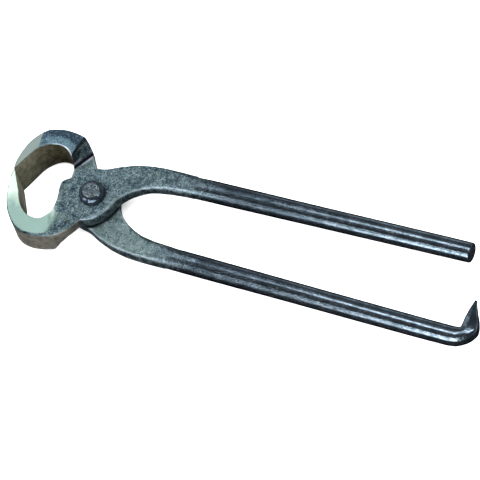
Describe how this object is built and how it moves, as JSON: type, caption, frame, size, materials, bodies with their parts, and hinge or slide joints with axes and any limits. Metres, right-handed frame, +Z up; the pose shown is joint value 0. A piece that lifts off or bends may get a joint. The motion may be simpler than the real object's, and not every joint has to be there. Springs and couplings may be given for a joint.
{
  "type": "hoof nipper",
  "caption": "Farrier's hoof nipper: two forged arms riveted at a lap joint, with curved end-cutting jaws, a plain handle and a handle with a bent pick end.",
  "frame": {"origin": "under the middle of the whole tool, in the plane that its lower jaw flanks lie on; the pivot's axis crosses y = 0 at x = -0.1016", "axes": "+X from the jaws to the handle ends, +Y to the front arm's handle, +Z up along the pivot's axis"},
  "size_m": [0.3048, 0.0711, 0.0292],
  "materials": {
    "front_arm_steel": "forged carbon steel with dark blue-grey scale, jaws ground bright",
    "rear_arm_steel": "forged carbon steel with dark blue-grey scale, jaws ground bright",
    "rivet_steel": "dark hammered steel"
  },
  "bodies": {
    "rear_arm_and_rivet": {"rear_arm": "rear_arm_steel", "pivot_rivet": "rivet_steel"},
    "front_arm": {"front_arm": "front_arm_steel"}
  },
  "joints": [
    {"name": "pivot", "type": "hinge", "parent": "rear_arm_and_rivet", "child": "front_arm", "pos_m": [-0.1016, 0, 0.0146], "axis": [0, 0, 1], "range_deg": [0, 45]}
  ]
}
